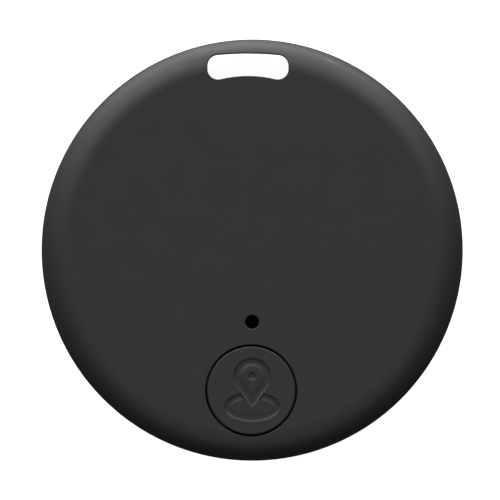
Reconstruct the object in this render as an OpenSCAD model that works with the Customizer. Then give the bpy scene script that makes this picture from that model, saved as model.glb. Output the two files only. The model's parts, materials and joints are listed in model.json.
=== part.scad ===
// Round tracker tag: a two-shell casing with a lanyard slot, a find button, a buzzer
// and a coin cell. Millimetres. It lies on its back: the origin is the middle of the
// back face, +Z runs out through the front face and +Y points at the lanyard slot.

/* [Casing] */
// Outside diameter of the casing
case_d = 45; // [44:0.5:60]
// Thickness of the closed casing
case_t = 9; // [9:0.1:12]
// Wall thickness of both shells
wall = 1.1; // [0.9:0.05:1.1]
// Radius of the rounded front edge
front_edge_r = 3.1; // [2:0.1:3.4]
// Radius of the rounded rear edge
rear_edge_r = 2.8; // [2:0.1:3]
// Height of the seam between the shells above the back face
seam_z = 4.2; // [3.6:0.1:4.4]
// Height of the locating lip that the rear cover pushes into the front shell
lip_h = 1.15; // [0.8:0.05:1.3]
// Thickness of that lip
lip_t = 0.7; // [0.5:0.05:0.8]
// Thickness of the front shell's skirt outside the lip
skirt_t = 0.65; // [0.5:0.05:0.8]

/* [Lanyard slot] */
// Width of the slot from end to end
slot_w = 8.65; // [6:0.05:12]
// Height of the slot at its middle
slot_h = 2.45; // [2:0.05:3]
// How far the slot sits to the right of the centre line
slot_x = -0.45; // [-1:0.05:1]
// Material between the slot and the outer edge
slot_web = 1.5; // [1.2:0.05:2.5]
// Thickness of the wall around the slot
slot_wall = 1; // [0.7:0.05:1.3]

/* [Button] */
// How far the button sits to the right of the centre line
button_x = -0.1; // [-0.3:0.05:0.3]
// Diameter of the button
button_d = 9.4; // [7.5:0.02:10.5]
// Gap all round the button
button_gap = 0.2; // [0.1:0.01:0.4]
// Distance from the button's centre to the edge of the casing
button_edge = 7.55; // [7.3:0.05:10]
// Width of the flange that keeps the button in
button_flange = 0.67; // [0.5:0.01:0.8]
// How far the button travels when it is pressed
button_travel = 0.25; // [0.15:0.01:0.26]
// Depth of the symbol sunk in the button
symbol_depth = 0.22; // [0.1:0.01:0.3]
// How far the middles of the ring and the marker stand below the button's face
symbol_sink = 0.06; // [0:0.01:0.08]

/* [Sound] */
// Diameter of the sound hole
sound_d = 1.45; // [1:0.05:1.8]
// Distance from the button's centre up to the sound hole
sound_up = 7.3; // [7.2:0.05:9]

/* [Coin cell] */
// Diameter of the coin cell
cell_d = 20; // [16:0.5:20]
// Thickness of the coin cell
cell_t = 3.2; // [2.5:0.1:3.2]
// Gap between the cell and the wall of its well
cell_gap = 0.15; // [0.1:0.01:0.3]
// Thickness of the well's wall
well_t = 0.9; // [0.6:0.05:1.2]

/* [Circuit board] */
// Thickness of the circuit board
board_t = 0.8; // [0.6:0.1:1]
// Room between the cell and the board, for the sprung contact
contact_room = 0.5; // [0.4:0.05:0.8]

/* [Hidden] */
$fn = 96;
eps = 0.2; // how far a cutter runs past, or a rib runs into, a wall
touch = 0.01; // gap left between two pieces that rest on each other and move apart

// Levels, from the back face up
case_r = case_d / 2;
floor_z = wall;
ceiling_z = case_t - wall;
cell_top = floor_z + cell_t;
board_z = cell_top + contact_room;
board_top = board_z + board_t;

// Lap joint between the shells
arc_steps = 20;
lip_gap = 0.15;
lip_end_gap = 0.05;
skirt_r = case_r - skirt_t;
lip_r = skirt_r - lip_gap;
lip_root_h = 1.3;
seam_chamfer = 0.12;
bead_h = 0.12;
bead_half = 0.25;
bead_up = 0.6;
bead_count = 6;
bead_angle = 22;
notch_w = 8;
notch_h = 1;
notch_depth = 0.9;

// Lanyard slot
slot_corner_r = 1.15;
slot_outer_y = case_r - slot_web;
slot_inner_y = slot_outer_y - slot_h;
slot_lobe_drop = 0.38;
slot_lobe_y = slot_inner_y - slot_lobe_drop;
slot_top_arc_r = 35;
slot_low_arc_r = 12.5;

// Button
button_r = button_d / 2;
button_y = -(case_r - button_edge);
button_hole_r = button_r + button_gap;
button_edge_round = 0.25;
button_skin = 1;
button_wall = 1.1;
button_core_r = button_r - button_wall;
flange_gap = 0.05;
flange_t = 0.6;
flange_r = button_r + button_flange;
flange_top = ceiling_z - flange_gap;
flange_clip_r = case_r - front_edge_r + flange_gap;
key_w = 1;
key_gap = 0.1;
stem_r = 1.3;

// Symbol: a map marker standing in a ring, in the button's own plane
marker_head_r = 1.9;
marker_head_up = 1.5;
marker_tip_down = 1.85;
marker_line = 0.68;
marker_eye_r = 0.42;
ring_a = 2.9;
ring_b = 1.5;
ring_line = 0.65;
ring_down = 1.73;
ring_clear = 0.16;

// Push switch
switch_w = 4.5;
switch_base_h = 0.55;
switch_pocket_r = 1.7;
switch_pocket_z = 0.12;
frame_t = 0.12;
frame_side_z = 0.12;
plunger_r = 0.9;
plunger_flange_r = 1.3;
plunger_flange_z = 0.42;
plunger_flange_t = 0.1;
switch_h = 0.95;
plunger_top = board_top + switch_h;
dome_r = 1.62;
dome_t = 0.08;
dome_rise = 0.28;

// Buzzer
buzzer_w = 5;
buzzer_h = 2;
buzzer_bore_r = 2.1;
buzzer_roof = 0.4;
port_off = 1;
sound_y = button_y + sound_up;
buzzer_y = sound_y + port_off;
yoke_t = 0.25;
pole_r = 0.5;
pole_h = 0.95;
magnet_h = 0.95;
magnet_r = 1.95;
magnet_bore_r = 1.4;
coil_r = 1.3;
coil_bore_r = 0.55;
coil_h = 0.85;
diaphragm_r = 2.05;
diaphragm_t = 0.1;
mesh_r = 1.25;
mesh_t = 0.12;
mesh_seat = 0.2;
gasket_r = 1.5;
gasket_bore_r = 0.9;

// Coin cell: can, seal, cap and filling, as steps in from its side and down from its top
cell_r = cell_d / 2;
can_t = 0.25;
can_corner_r = 0.4;
crimp_r = 0.45;
crimp_in = 0.9;
crimp_top = cell_t - can_t;
crimp_low = crimp_top - can_t;
crimp_root = crimp_low - can_t;
seal_lip_top = cell_t - 0.2;
seal_lip_in = 1.15;
seal_neck = cell_t - 0.65;
seal_skirt_in = 0.6;
seal_skirt_top = cell_t - 1;
cap_t = 0.25;
cap_round = 0.3;
cap_edge_in = 1.5;
cap_fold_in = 1.4;
cap_fold_low = cell_t - 1.1;
cap_skirt_low = can_t + 0.1;
cap_gap = 0.05;

// The cell's well
well_h = 2.4;
well_r = cell_r + cell_gap;
well_merge = 0.4;
contact_side_gap = 0.8;
cell_y = slot_lobe_y - slot_wall + well_merge - well_t - well_r;
finger_w = 7;
contact_w = 5;
contact_slot_w = contact_w + 2 * contact_side_gap;

// Board and its fixings
board_edge_gap = 0.4;
board_r = lip_r - lip_t - board_edge_gap;
board_slot_gap = 0.3;
screw_edge = 4;
screw_ring_r = board_r - screw_edge;
screw_angle = -30;
screw_r = 0.7;
screw_len = 2.3;
head_r = 1.3;
head_h = 0.75;
boss_r = 1.7;
peg_edge = 3.2;
peg_ring_r = board_r - peg_edge;
peg_angle = 27;
peg_r = 0.75;
peg_post_r = 1.5;
peg_hole_gap = 0.08;
peg_past_board = 0.35;
frame_hole_gap = 0.06;
frame_inset = 0.6;
frame_side_inset = 2;

// On the board's rear side: the leaf contact's foot, and the radio parts below it
foot_len = 2.6;
foot_step = 0.7;
foot_clear = 3.2;
leaf_t = 0.2;
leaf_gap = 0.04;
cell_low_y = cell_y - cell_r;
foot_end_y = cell_low_y - foot_step - foot_len;
radio_edge = 10.7;
radio_y = min(foot_end_y - foot_clear, radio_edge - board_r);
radio_x = -4.6;
copper_t = 0.05;

// Aerial and test pads
antenna_legs = 8;
antenna_pitch = 1.5;
antenna_h = 2.2;
antenna_line = 0.4;
antenna_edge = 1.9;
antenna_y = antenna_edge - board_r;
pad_columns = 2;
pad_rows = 3;
pad_pitch = 1.9;
pad_r = 0.6;
pad_x = 6.6;
pad_drop = 1.3;
pad_y = radio_y - pad_drop;

// Packages, as [length, width, height]
radio_size = [5, 5, 0.8];
radio_dot_r = 0.35;
radio_dot_at = -1.8;
radio_dot_deep = 0.08;
crystal_at = [-5.2, 0.9];
crystal_foot = [3.2, 2.5, 0.3];
crystal_lid = [2.8, 2.1, 0.7];
transistor_at = [12.4, 1.8];
transistor_size = [2.9, 1.3, 0.95];
transistor_lift = 0.1;
lead_places = [[-0.95, 1], [0.95, 1], [0, -1]];
lead_out = 0.95;
lead_foot = [0.4, 0.6, 0.15];
lead_knee = [0.4, 0.2, 0.5];

// Sprung contacts
spring_t = 0.15;
pad_half = 1.6;
pad_w = 3.4;
arm_reach = 5;
arm_toe = 0.8;
arm_w = 1.8;
leaf_back = 0.5;
leaf_tip_up = 0.6;
leaf_belly_up = 1.7;

// Cross slots in the screw heads
recess_l = 1.6;
recess_w = 0.3;
recess_deep = 0.4;

// Screw and peg places as [angle, distance from the middle]
screw_places = [for (side = [0, 1]) [side ? 180 - screw_angle : screw_angle, screw_ring_r]];
peg_places = [for (side = [0, 1]) [side ? 180 - peg_angle : peg_angle, peg_ring_r]];

// Small parts as [x, y, turn], measured from the radio chip's centre
capacitor_places = [
    [-2.4, -3.9, 0], [0, -3.9, 0], [2.4, -3.9, 0], [3.9, 1.6, 90], [3.9, -1.2, 90], [-6.4, -2.7, 0]
];
resistor_places = [[6.2, -3.9, 90], [7.8, -3.9, 90], [-8.8, -2.7, 0]];
chip_l = 1.6;
chip_w = 0.8;
capacitor_h = 0.75;
resistor_h = 0.45;
end_cap_l = 0.3;

// Points along an arc about a centre, from one angle to another
function arc(centre, r, from, to, steps = arc_steps) =
    [for (i = [0:steps]) let (a = from + (to - from) * i / steps) centre + r * [cos(a), sin(a)]];

// Half outline of the whole casing, moved inwards by inset
function body_outline(inset) = concat(
    [[0, inset]],
    arc([case_r - rear_edge_r, rear_edge_r], rear_edge_r - inset, -90, 0),
    arc([case_r - front_edge_r, case_t - front_edge_r], front_edge_r - inset, 0, 90),
    [[0, case_t - inset]]
);

module body(inset = 0) {
    rotate_extrude() polygon(body_outline(inset));
}

module slab(z0, z1, r = case_r + 1) {
    translate([0, 0, z0]) cylinder(r = r, h = z1 - z0);
}

module tube(r_out, r_in, z0, z1) {
    difference() {
        slab(z0, z1, r_out);
        slab(z0 - eps, z1 + eps, r_in);
    }
}

module at_angle(place) {
    rotate(place[0]) translate([place[1], 0, 0]) children();
}

module on_front(x, y, turn = 0) {
    translate([x, y, board_top]) rotate(turn) children();
}

// Turned over, so that a child's +Z points out of the board's rear side
module on_rear(x, y, turn = 0) {
    translate([x, y, board_z]) rotate([180, 0, 0]) rotate(-turn) children();
}

module block(size) {
    translate([-size[0] / 2, -size[1] / 2, 0]) cube(size);
}

// Bean-shaped slot: a shallow arc above, a tighter one below, round corners
module slot_outline(grow = 0) {
    offset(r = slot_corner_r + grow, $fn = 48)
        offset(delta = -slot_corner_r)
            difference() {
                intersection() {
                    translate([slot_x - slot_w / 2, slot_lobe_y])
                        square([slot_w, slot_outer_y - slot_lobe_y]);
                    translate([slot_x, slot_outer_y - slot_top_arc_r])
                        circle(r = slot_top_arc_r, $fn = 360);
                }
                translate([slot_x, slot_inner_y - slot_low_arc_r])
                    circle(r = slot_low_arc_r, $fn = 180);
            }
}

module slot_prism(z0, z1, grow = 0) {
    translate([0, 0, z0]) linear_extrude(height = z1 - z0) slot_outline(grow);
}

module slot_tube(z0, z1) {
    intersection() {
        body(wall / 2);
        slot_prism(z0, z1, slot_wall);
    }
}

// V-shaped line round the casing where the shells meet
module seam_line() {
    rotate_extrude() polygon([
        [case_r - seam_chamfer, seam_z],
        [case_r + eps, seam_z - seam_chamfer - eps],
        [case_r + eps, seam_z + seam_chamfer + eps]
    ]);
}

module bead_ring(grow = 0) {
    rotate_extrude() polygon([
        [lip_r - eps, seam_z + bead_up - bead_half - grow],
        [lip_r, seam_z + bead_up - bead_half - grow],
        [lip_r + bead_h + grow, seam_z + bead_up],
        [lip_r, seam_z + bead_up + bead_half + grow],
        [lip_r - eps, seam_z + bead_up + bead_half + grow]
    ]);
}

module bead_sectors() {
    for (i = [0:bead_count - 1])
        rotate(i * 360 / bead_count - bead_angle / 2 - 90)
            rotate_extrude(angle = bead_angle) translate([lip_r - lip_t / 2, seam_z]) square([2, lip_h]);
}

// Rear shell: shallow dish, lip with snap beads, well for the cell, pry notch
module rear_cover() {
    color("#2f2d2e") difference() {
        union() {
            difference() {
                intersection() {
                    body();
                    slab(0, seam_z);
                }
                body(wall);
            }
            intersection() {
                body(wall - eps);
                tube(skirt_r, lip_r - lip_t, seam_z - lip_root_h, seam_z);
            }
            difference() {
                union() {
                    tube(lip_r, lip_r - lip_t, seam_z - eps, seam_z + lip_h);
                    intersection() {
                        bead_ring();
                        bead_sectors();
                    }
                }
                slot_prism(seam_z, seam_z + 2 * lip_h, slot_wall + lip_gap);
            }
            cell_well();
            slot_tube(0, seam_z);
        }
        slot_prism(-eps, case_t, 0);
        seam_line();
        translate([-notch_w / 2, -case_r - eps, seam_z - notch_h])
            cube([notch_w, notch_depth + eps, notch_h + eps]);
    }
}

// Ring that the coin cell drops into, open for a fingertip each side and for the contact
module cell_well() {
    difference() {
        translate([0, cell_y, 0]) tube(well_r + well_t, well_r, floor_z - eps, floor_z + well_h);
        translate([-case_r, cell_y - finger_w / 2, floor_z]) cube([case_d, finger_w, case_t]);
        translate([-contact_slot_w / 2, -case_r, floor_z]) cube([contact_slot_w, case_r + cell_y, case_t]);
    }
}

// Front shell: deep dish with the openings, board posts and the groove for the lip
module front_shell() {
    color("#363435") difference() {
        union() {
            difference() {
                intersection() {
                    body();
                    slab(seam_z, case_t + 1);
                }
                body(wall);
                slab(seam_z - eps, seam_z + lip_h + lip_end_gap, skirt_r);
                bead_ring(lip_end_gap);
            }
            slot_tube(seam_z, case_t);
            for (place = screw_places) at_angle(place) slab(board_top, ceiling_z + eps, boss_r);
            for (place = peg_places) at_angle(place) {
                slab(board_top, ceiling_z + eps, peg_post_r);
                slab(board_z - peg_past_board, ceiling_z, peg_r);
            }
            button_key();
        }
        slot_prism(0, case_t + 1, 0);
        seam_line();
        translate([button_x, button_y, 0]) slab(flange_top - flange_t - 1, case_t + 1, button_hole_r);
        translate([0, sound_y, 0]) {
            slab(ceiling_z - eps, case_t + 1, sound_d / 2);
            slab(ceiling_z - eps, ceiling_z + mesh_seat, mesh_r + lip_end_gap);
        }
        for (place = screw_places) at_angle(place)
            slab(board_top - eps, board_z + screw_len + board_t + lip_end_gap, screw_r);
    }
}

// Rib in the front shell that fits a notch in the button's flange and stops it turning
module button_key() {
    translate([button_x - key_w / 2, button_y + button_hole_r - eps, flange_top - flange_t])
        cube([key_w, flange_r - button_hole_r + 2 * eps, flange_t + 2 * eps]);
}

function marker_outline(inset) = let (
    r = marker_head_r - inset,
    reach = (marker_head_up + marker_tip_down) * r / marker_head_r,
    lean = acos(r / reach)
) concat(
    arc([0, marker_head_up], r, lean - 90, 270 - lean, 3 * arc_steps),
    [[0, marker_head_up - reach]]
);

function ellipse(a, b, y) = [for (i = [0:6:354]) [a * cos(i), y + b * sin(i)]];

module symbol() {
    difference() {
        polygon(ellipse(ring_a, ring_b, -ring_down));
        polygon(ellipse(ring_a - ring_line, ring_b - ring_line, -ring_down));
        polygon(marker_outline(-ring_clear));
    }
    difference() {
        polygon(marker_outline(0));
        polygon(marker_outline(marker_line));
    }
    translate([0, marker_head_up]) circle(r = marker_eye_r);
}

// The middles of the ring and the marker, out to the centres of their lines
module symbol_middles() {
    polygon(ellipse(ring_a - ring_line / 2, ring_b - ring_line / 2, -ring_down));
    polygon(marker_outline(marker_line / 2));
}

// Button: flush round cap with a sunk symbol, a flange below the wall and a stem on the switch
module button_cap() {
    color("#363435") translate([button_x, button_y, 0]) difference() {
        union() {
            rotate_extrude() polygon(concat(
                [[0, flange_top - flange_t], [button_r, flange_top - flange_t]],
                arc([button_r - button_edge_round, case_t - button_edge_round], button_edge_round, 0, 90, 6),
                [[0, case_t]]
            ));
            intersection() {
                slab(flange_top - flange_t, flange_top, flange_r);
                translate([-button_x, -button_y, 0]) slab(flange_top - flange_t, flange_top, flange_clip_r);
            }
        }
        tube(button_core_r, stem_r, flange_top - flange_t - eps, case_t - button_skin);
        translate([-button_x, 0, case_t - symbol_depth]) linear_extrude(height = 1) symbol();
        translate([-button_x, 0, case_t - symbol_sink]) linear_extrude(height = 1) symbol_middles();
        translate([-key_w / 2 - key_gap, button_r, flange_top - flange_t - eps])
            cube([key_w + 2 * key_gap, flange_r, flange_t + 2 * eps]);
    }
    color("#363435") translate([button_x, button_y, 0])
        slab(plunger_top + touch, flange_top - flange_t + eps, stem_r);
}

module sound_mesh() {
    color("#17181a") translate([0, sound_y, 0])
        slab(ceiling_z + mesh_seat - mesh_t, ceiling_z + mesh_seat, mesh_r);
}

module buzzer_gasket() {
    color("#3a3c40") translate([0, sound_y, 0]) tube(gasket_r, gasket_bore_r, board_top + buzzer_h, ceiling_z);
}

module buzzer_case() {
    color("#1d1d1f") difference() {
        on_front(0, buzzer_y) block([buzzer_w, buzzer_w, buzzer_h]);
        translate([0, buzzer_y, 0]) slab(board_top - eps, board_top + buzzer_h - buzzer_roof, buzzer_bore_r);
        translate([0, sound_y, 0]) slab(board_top, board_top + buzzer_h + eps, sound_d / 2);
    }
}

module buzzer_yoke() {
    color("#8f9296") on_front(0, buzzer_y) {
        cylinder(r = magnet_r, h = yoke_t);
        cylinder(r = pole_r, h = yoke_t + pole_h - 2 * touch);
    }
}

module buzzer_magnet() {
    color("#56585c") on_front(0, buzzer_y) tube(magnet_r, magnet_bore_r, yoke_t, yoke_t + magnet_h);
}

module buzzer_coil() {
    color("#b8743a") on_front(0, buzzer_y) tube(coil_r, coil_bore_r, yoke_t, yoke_t + coil_h);
}

module buzzer_diaphragm() {
    color("#c8cace") on_front(0, buzzer_y)
        translate([0, 0, yoke_t + magnet_h]) cylinder(r = diaphragm_r, h = diaphragm_t);
}

// Round board, cut back round the lanyard slot, with two screw holes and two peg holes
module circuit_board() {
    color("#1d5b3a") translate([0, 0, board_z]) linear_extrude(height = board_t) difference() {
        circle(r = board_r);
        slot_outline(slot_wall + board_slot_gap);
        translate([slot_x - slot_w / 2, slot_outer_y]) square([slot_w, slot_w]);
        for (place = screw_places) at_angle(place) circle(r = screw_r + peg_hole_gap);
        for (place = peg_places) at_angle(place) circle(r = peg_r + peg_hole_gap);
    }
}

// Meandering copper aerial along the board's lower edge, on the rear side
module antenna_trace() {
    color("#c98a4b") on_rear(0, 0) mirror([0, 1, 0])
        linear_extrude(height = copper_t) for (i = [0:antenna_legs - 1]) {
            x = (i - (antenna_legs - 1) / 2) * antenna_pitch;
            translate([x - antenna_line / 2, antenna_y]) square([antenna_line, antenna_h]);
            if (i < antenna_legs - 1)
                translate([x - antenna_line / 2, antenna_y + (i % 2 ? 0 : antenna_h - antenna_line)])
                    square([antenna_pitch + antenna_line, antenna_line]);
        }
}

module test_pads() {
    color("#d8b45a") for (i = [0:pad_columns - 1], j = [0:pad_rows - 1])
        on_rear(pad_x + i * pad_pitch, pad_y - j * pad_pitch) cylinder(r = pad_r, h = copper_t);
}

module bluetooth_chip() {
    color("#26272a") on_rear(radio_x, radio_y) difference() {
        block(radio_size);
        translate([radio_dot_at, radio_dot_at, radio_size[2] - radio_dot_deep]) cylinder(r = radio_dot_r, h = 1);
    }
}

module crystal() {
    color("#c3c6ca") on_rear(radio_x + crystal_at[0], radio_y + crystal_at[1]) {
        block(crystal_foot);
        block(crystal_lid);
    }
}

module transistor() {
    color("#232427") on_rear(radio_x + transistor_at[0], radio_y + transistor_at[1])
        translate([0, 0, transistor_lift]) block(transistor_size);
}

module transistor_leads() {
    color("#c7c9cc") on_rear(radio_x + transistor_at[0], radio_y + transistor_at[1])
        for (lead = lead_places) translate([lead[0], lead[1] * lead_out, 0]) {
            block(lead_foot);
            translate([0, -lead[1] * (lead_foot[1] - lead_knee[1]) / 2, 0]) block(lead_knee);
        }
}

module small_parts(places) {
    for (p = places) on_rear(radio_x + p[0], radio_y + p[1], p[2]) children();
}

module capacitors() {
    color("#a5794f") small_parts(capacitor_places) block([chip_l - 2 * end_cap_l, chip_w, capacitor_h]);
}

module resistors() {
    color("#1f2023") small_parts(resistor_places) block([chip_l - 2 * end_cap_l, chip_w, resistor_h]);
}

// Tinned ends of the capacitors and resistors
module end_caps() {
    color("#cfd1d4") for (side = [-1, 1]) {
        small_parts(capacitor_places)
            translate([side * (chip_l - end_cap_l) / 2, 0, 0]) block([end_cap_l, chip_w, capacitor_h]);
        small_parts(resistor_places)
            translate([side * (chip_l - end_cap_l) / 2, 0, 0]) block([end_cap_l, chip_w, resistor_h]);
    }
}

module switch_base() {
    color("#2b2c2f") difference() {
        on_front(0, button_y) block([switch_w, switch_w, switch_base_h]);
        translate([0, button_y, 0])
            slab(board_top + switch_pocket_z, board_top + switch_base_h + eps, switch_pocket_r);
    }
}

// Sheet-metal cover of the switch, folded down on two sides
module switch_frame() {
    color("#c9cbce") on_front(0, button_y) {
        difference() {
            translate([0, 0, switch_base_h]) block([switch_w + 2 * frame_t, switch_w - frame_inset, frame_t]);
            cylinder(r = plunger_r + frame_hole_gap, h = switch_h);
        }
        for (side = [-1, 1])
            translate([side * (switch_w + frame_t) / 2, 0, frame_side_z])
                block([frame_t, switch_w - frame_side_inset, switch_base_h - frame_side_z + frame_t]);
    }
}

// Snap dome, a shallow spherical cap that the plunger presses flat
module switch_dome() {
    ball_r = (dome_r * dome_r + dome_rise * dome_rise) / (2 * dome_rise);
    color("#d4d6d8") on_front(0, button_y) intersection() {
        translate([0, 0, switch_pocket_z]) cylinder(r = dome_r, h = dome_rise);
        difference() {
            translate([0, 0, switch_pocket_z + dome_rise - ball_r]) sphere(r = ball_r);
            translate([0, 0, switch_pocket_z + dome_rise - ball_r]) sphere(r = ball_r - dome_t);
        }
    }
}

module switch_plunger() {
    color("#e6e3da") on_front(0, button_y) {
        translate([0, 0, plunger_flange_z]) cylinder(r = plunger_flange_r, h = plunger_flange_t);
        translate([0, 0, plunger_flange_z]) cylinder(r = plunger_r, h = switch_h - plunger_flange_z);
    }
}

// Stamped spring: a flat pad soldered to the board and two arms down to the cell
module negative_contact() {
    tip = contact_room - touch;
    color("#c9b37a") on_rear(0, cell_y) {
        block([2 * pad_half, pad_w, spring_t]);
        for (side = [0, 1]) rotate(side * 180) translate([0, arm_w / 2, 0])
            rotate([90, 0, 0]) linear_extrude(height = arm_w) polygon([
                [pad_half - eps, 0],
                [pad_half, 0],
                [arm_reach, tip - spring_t],
                [arm_reach + arm_toe, tip - 2 * spring_t],
                [arm_reach + arm_toe, tip - spring_t],
                [arm_reach, tip],
                [pad_half, spring_t],
                [pad_half - eps, spring_t]
            ]);
    }
}

// Stamped leaf: a foot soldered to the board, bent down to press on the side of the cell
module positive_contact() {
    near = cell_low_y - leaf_gap;
    far = near - leaf_back;
    tip_z = floor_z + leaf_tip_up;
    belly_z = floor_z + leaf_belly_up;
    color("#cfd0cc") translate([-contact_w / 2, 0, 0]) rotate([90, 0, 90])
        linear_extrude(height = contact_w) polygon([
            [foot_end_y, board_z], [far, board_z], [far + leaf_t, board_z - leaf_t], [near, belly_z],
            [far, tip_z], [far - leaf_t, tip_z], [near - leaf_t, belly_z],
            [far, board_z - leaf_t], [foot_end_y, board_z - leaf_t]
        ]);
}

module board_screws() {
    color("#b9bcc0") for (place = screw_places) at_angle(place) difference() {
        union() {
            slab(board_z - touch, board_z + board_t + screw_len, screw_r - touch);
            slab(board_z - head_h, board_z, head_r);
        }
        for (turn = [0, 90]) rotate(turn) translate([0, 0, board_z - head_h - eps])
            block([recess_l, recess_w, recess_deep + eps]);
    }
}

// Can of the coin cell: a cup with its rim crimped in over the gasket
module battery_can() {
    color("#c4c7cb") translate([0, cell_y, floor_z]) rotate_extrude() polygon(concat(
        [[0, 0]],
        arc([cell_r - can_corner_r, can_corner_r], can_corner_r, -90, 0, 5),
        arc([cell_r - crimp_r, crimp_top - crimp_r], crimp_r, 0, 90, 5),
        [
            [cell_r - crimp_in, crimp_top],
            [cell_r - crimp_in, crimp_low],
            [cell_r - can_t, crimp_root],
            [cell_r - can_t, can_t],
            [0, can_t]
        ]
    ));
}

// Nylon ring that seals the cap into the can
module battery_gasket() {
    color("#2a2b2e") translate([0, cell_y, floor_z]) rotate_extrude() polygon([
        [cell_r - seal_skirt_in, can_t],
        [cell_r - can_t, can_t],
        [cell_r - can_t, crimp_root],
        [cell_r - crimp_in, crimp_low],
        [cell_r - crimp_in, seal_lip_top],
        [cell_r - seal_lip_in, seal_lip_top],
        [cell_r - seal_lip_in, seal_neck],
        [cell_r - seal_skirt_in, seal_skirt_top]
    ]);
}

module battery_cap() {
    color("#cfd1d4") translate([0, cell_y, floor_z]) rotate_extrude() polygon([
        [0, cell_t - cap_t],
        [cell_r - cap_edge_in - cap_t + cap_gap, cell_t - cap_t],
        [cell_r - cap_fold_in, cell_t - cap_t - cap_round],
        [cell_r - cap_fold_in, cap_fold_low],
        [cell_r - seal_skirt_in - cap_t, cap_fold_low - cap_t],
        [cell_r - seal_skirt_in - cap_t, cap_skirt_low],
        [cell_r - seal_skirt_in, cap_skirt_low],
        [cell_r - seal_skirt_in, seal_skirt_top],
        [cell_r - seal_lip_in, seal_neck],
        [cell_r - seal_lip_in, cell_t - cap_round],
        [cell_r - cap_edge_in, cell_t],
        [0, cell_t]
    ]);
}

// Lithium disc, separator and cathode pellet, as one filling of the cell
module battery_core() {
    in_fold = cell_r - cap_fold_in - 2 * cap_gap;
    in_skirt = cell_r - seal_skirt_in - cap_t - cap_gap;
    color("#4a4b50") translate([0, cell_y, floor_z]) rotate_extrude() polygon([
        [0, can_t],
        [in_skirt, can_t],
        [in_skirt, cap_fold_low - cap_t - cap_gap],
        [in_fold, cap_fold_low - cap_gap],
        [in_fold, cell_t - cap_t - cap_round - cap_gap],
        [in_fold - cap_round, cell_t - cap_t - cap_gap],
        [0, cell_t - cap_t - cap_gap]
    ]);
}

rear_cover();
front_shell();
button_cap();
sound_mesh();
buzzer_gasket();
buzzer_case();
buzzer_diaphragm();
buzzer_magnet();
buzzer_coil();
buzzer_yoke();
circuit_board();
antenna_trace();
test_pads();
bluetooth_chip();
crystal();
transistor();
transistor_leads();
capacitors();
resistors();
end_caps();
switch_base();
switch_frame();
switch_dome();
switch_plunger();
negative_contact();
positive_contact();
board_screws();
battery_can();
battery_gasket();
battery_cap();
battery_core();
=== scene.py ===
"""Round tracker tag, lying on its back on a pale sweep: moulded black casing, find button and what is inside."""

import json
import math

import bmesh
import bpy
from mathutils import Matrix, Vector


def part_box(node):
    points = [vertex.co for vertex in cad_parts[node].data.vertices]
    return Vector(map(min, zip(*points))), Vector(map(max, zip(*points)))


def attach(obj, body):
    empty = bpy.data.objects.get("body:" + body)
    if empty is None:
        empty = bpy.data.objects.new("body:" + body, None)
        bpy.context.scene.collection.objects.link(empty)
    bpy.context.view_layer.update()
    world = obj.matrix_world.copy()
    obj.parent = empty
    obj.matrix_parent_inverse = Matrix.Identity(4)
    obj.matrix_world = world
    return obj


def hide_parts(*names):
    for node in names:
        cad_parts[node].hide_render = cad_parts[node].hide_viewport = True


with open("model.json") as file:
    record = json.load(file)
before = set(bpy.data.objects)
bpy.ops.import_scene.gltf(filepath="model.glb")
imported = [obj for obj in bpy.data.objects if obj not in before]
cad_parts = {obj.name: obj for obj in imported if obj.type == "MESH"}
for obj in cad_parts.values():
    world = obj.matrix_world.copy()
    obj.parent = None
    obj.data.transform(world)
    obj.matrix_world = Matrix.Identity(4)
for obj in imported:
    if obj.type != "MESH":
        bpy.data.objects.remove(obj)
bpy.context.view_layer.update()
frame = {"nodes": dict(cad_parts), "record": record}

# ---------------------------------------------------------------- sizes, in millimetres
MM = 0.001
front_low, front_high = (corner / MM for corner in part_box("front_shell"))
cover_low, cover_high = (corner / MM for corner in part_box("rear_cover"))
button_low, button_high = (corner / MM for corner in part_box("button_cap"))
mesh_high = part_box("sound_mesh")[1] / MM
can_low, can_high = (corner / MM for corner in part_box("battery_can"))
board_low, board_high = (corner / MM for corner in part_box("circuit_board"))
buzzer_centre = (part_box("buzzer_case")[0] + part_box("buzzer_case")[1]) / (2 * MM)

CASE_R = front_high.x
CASE_T = front_high.z
SEAM_Z = front_low.z
LIP_TOP = cover_high.z
WALL = can_low.z
CEILING = CASE_T - WALL
FRONT_EDGE_R = 3.1
REAR_EDGE_R = 2.8
SKIRT_R = CASE_R - 0.65
LIP_R = SKIRT_R - 0.15
LIP_IN_R = LIP_R - 0.7
LIP_ROOT_Z = SEAM_Z - 1.3
LIP_RECESS_Z = LIP_TOP + 0.05
SEAM_ROUND = 0.14

SLOT_X = -0.45
SLOT_HALF_W = 4.325
SLOT_OUTER_Y = CASE_R - 1.5
SLOT_INNER_Y = SLOT_OUTER_Y - 2.45
SLOT_CORNER_R = 1.15
SLOT_TOP_R = 35.0
SLOT_LOW_R = 12.5
SLOT_WALL = 1.0

BUTTON_X = -0.1
BUTTON_Y = 7.55 - CASE_R
BUTTON_R = 4.7
BUTTON_HOLE_R = BUTTON_R + 0.2
FLANGE_TOP = CEILING - 0.05
FLANGE_LOW = FLANGE_TOP - 0.6
SOUND_Y = BUTTON_Y + 7.3
SOUND_R = 0.725
SOUND_SEAT_R = 1.3
SOUND_SEAT_Z = mesh_high.z

CELL_Y = can_low.y * 0.5 + can_high.y * 0.5
WELL_R = can_high.x + 0.15
WELL_WALL = 0.9
WELL_TOP = WALL + 2.4

DOME_R = 1.7
FLOOR_GAP = 0.00002
SPIN_STEPS = 288
OVERLAP = 0.2
FLARE_ANGLES = (0, 18, 36, 54, 72)


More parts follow.
